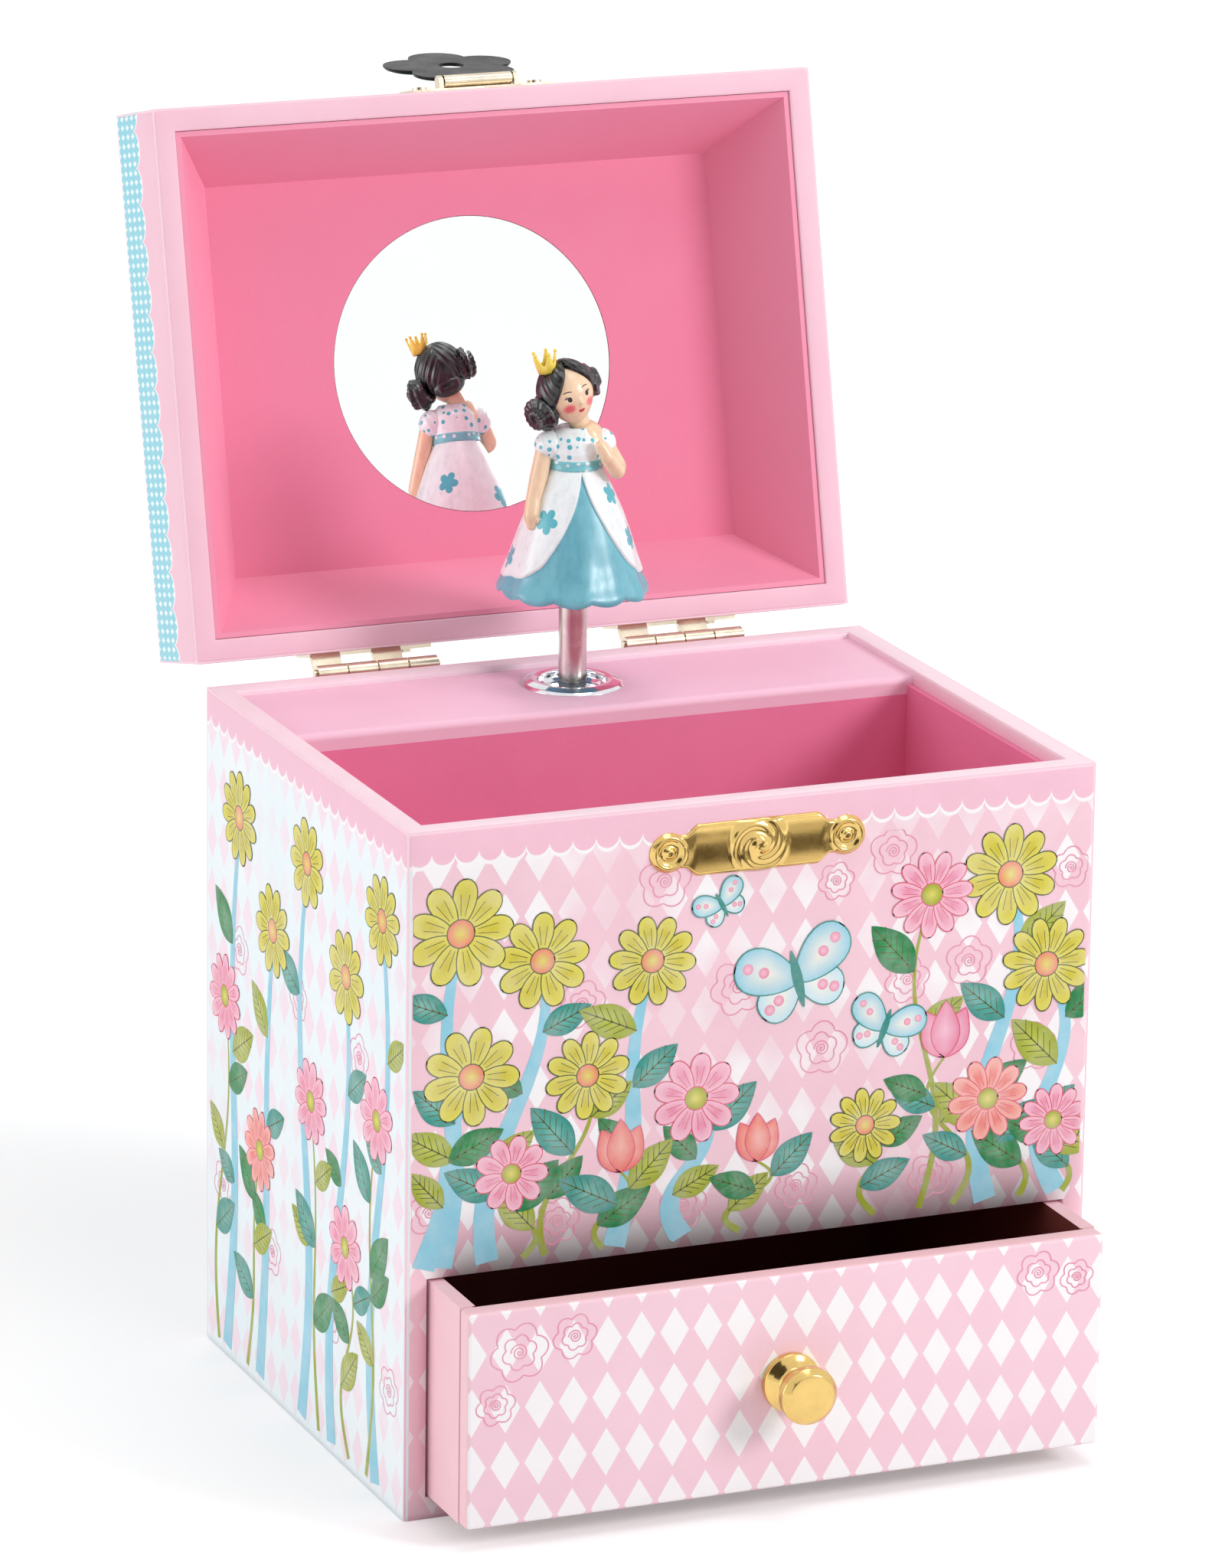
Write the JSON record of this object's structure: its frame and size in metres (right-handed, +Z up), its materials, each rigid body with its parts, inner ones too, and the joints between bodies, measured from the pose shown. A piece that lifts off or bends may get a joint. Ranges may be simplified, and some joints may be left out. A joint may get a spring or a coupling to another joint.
{
  "type": "musical jewellery box",
  "caption": "Paper-wrapped musical jewellery box with a mirrored hinged lid, lined well, drawer with a round knob, and a gowned figure on a turning stem.",
  "frame": {"origin": "centre of the underside of the case", "axes": "+Z up, +X to the right seen from the front, +Y to the back; the drawer faces -Y"},
  "size_m": [0.12, 0.1733, 0.2103],
  "materials": {
    "wrapped_board": "printed paper wrap, satin",
    "deck_board": "plain board",
    "well_lining": "pink paper, matt",
    "platform_card": "pale pink paper, satin",
    "drawer_face": "printed paper wrap, satin",
    "drawer_board": "pink paper outside, dark inside",
    "lid_lining": "pink paper, satin",
    "mirror_glass": "silvered glass",
    "polished_brass": "polished",
    "plated_hinge": "nickel plated",
    "dark_hasp": "dark bronzed",
    "bright_chrome": "bright",
    "steel": "plain steel",
    "movement_brass": "satin",
    "gown_plastic": "painted, glossy",
    "bodice_plastic": "painted, glossy",
    "skin_plastic": "painted, glossy",
    "hair_plastic": "painted, glossy",
    "crown_plastic": "painted, glossy"
  },
  "bodies": {
    "case": {"base_board": "wrapped_board", "left_wall": "wrapped_board", "right_wall": "wrapped_board", "back_wall": "wrapped_board", "front_panel": "wrapped_board", "drawer_deck": "deck_board", "liner_front": "well_lining", "liner_sides": "well_lining", "liner_floor": "well_lining", "platform_top": "platform_card", "platform_front": "platform_card", "grommet": "bright_chrome", "hinge_leaves_box": "plated_hinge", "hinge_pins": "plated_hinge", "hinge_screws_box": "plated_hinge", "strike_plate": "polished_brass", "strike_nails": "polished_brass", "bedplate": "movement_brass", "governor_frame": "movement_brass", "comb": "steel", "comb_screws": "steel", "movement_screws": "steel"},
    "lid": {"lid_top": "wrapped_board", "lid_front": "wrapped_board", "lid_back": "wrapped_board", "lid_left": "wrapped_board", "lid_right": "wrapped_board", "lid_panel": "lid_lining", "lid_slopes": "lid_lining", "mirror": "mirror_glass", "hinge_leaves_lid": "plated_hinge", "hinge_screws_lid": "plated_hinge", "hasp_plate": "plated_hinge", "hasp_pin": "plated_hinge", "hasp_nails": "plated_hinge"},
    "hasp": {"hasp_leaf": "dark_hasp"},
    "drawer": {"drawer_front": "drawer_face", "drawer_sides": "drawer_board", "drawer_back": "drawer_board", "drawer_floor": "drawer_board", "drawer_knob": "polished_brass", "knob_screw": "steel"},
    "key": {"winding_key": "steel", "winding_arbor": "steel"},
    "barrel": {"barrel": "movement_brass", "mainspring": "steel"},
    "cylinder": {"cylinder": "movement_brass"},
    "governor": {"governor_wheel": "steel"},
    "fly": {"fly": "steel"},
    "spindle": {"spindle": "steel"},
    "stem_spring": {"fold_spring": "steel"},
    "figure": {"stem_tube": "steel", "figurine_gown": "gown_plastic", "figurine_bodice": "bodice_plastic", "figurine_arms": "skin_plastic", "figurine_head": "skin_plastic", "figurine_hair": "hair_plastic", "figurine_crown": "crown_plastic"}
  },
  "joints": [
    {"name": "lid_hinge", "type": "hinge", "parent": "case", "child": "lid", "pos_m": [0, 0.05, 0.11475], "axis": [1, 0, 0], "range_deg": [0, 103.4]},
    {"name": "hasp_swing", "type": "hinge", "parent": "lid", "child": "hasp", "pos_m": [0, 0.07728, 0.2092], "axis": [1, 0, 0], "range_deg": [0, 166.6]},
    {"name": "drawer_slide", "type": "slide", "parent": "case", "child": "drawer", "axis": [0, -1, 0], "range_m": [-0.0168, 0.043]},
    {"name": "key_wind", "type": "hinge", "parent": "case", "child": "key", "pos_m": [0, 0.05, 0.08], "axis": [0, 1, 0], "range_deg": [0, 1800]},
    {"name": "barrel_spin", "type": "hinge", "parent": "case", "child": "barrel", "pos_m": [0, 0.0395, 0.08], "axis": [0, 1, 0], "continuous": true},
    {"name": "cylinder_spin", "type": "hinge", "parent": "case", "child": "cylinder", "pos_m": [0, 0.0315, 0.08], "axis": [1, 0, 0], "continuous": true},
    {"name": "governor_spin", "type": "hinge", "parent": "case", "child": "governor", "pos_m": [0, 0.0315, 0.088], "axis": [1, 0, 0], "continuous": true},
    {"name": "fly_spin", "type": "hinge", "parent": "case", "child": "fly", "pos_m": [0, 0.0315, 0.096], "axis": [1, 0, 0], "continuous": true},
    {"name": "spindle_spin", "type": "hinge", "parent": "case", "child": "spindle", "pos_m": [0, 0.0315, 0.1], "axis": [0, 0, 1], "continuous": true},
    {"name": "figure_fold", "type": "hinge", "parent": "case", "child": "stem_spring", "pos_m": [0, 0.0287, 0.1152], "axis": [1, 0, 0], "range_deg": [0, 90]},
    {"name": "figure_spin", "type": "hinge", "parent": "stem_spring", "child": "figure", "pos_m": [0, 0.0315, 0.1243], "axis": [0, 0, 1], "continuous": true}
  ],
  "couplings": [
    {"joint": "cylinder_spin", "follows": "barrel_spin", "ratio": -1.5},
    {"joint": "governor_spin", "follows": "barrel_spin", "ratio": 4.5},
    {"joint": "fly_spin", "follows": "barrel_spin", "ratio": -13.5},
    {"joint": "spindle_spin", "follows": "barrel_spin", "ratio": -1.5},
    {"joint": "figure_spin", "follows": "barrel_spin", "ratio": -1.5},
    {"joint": "figure_fold", "follows": "lid_hinge", "ratio": 0.8704}
  ]
}
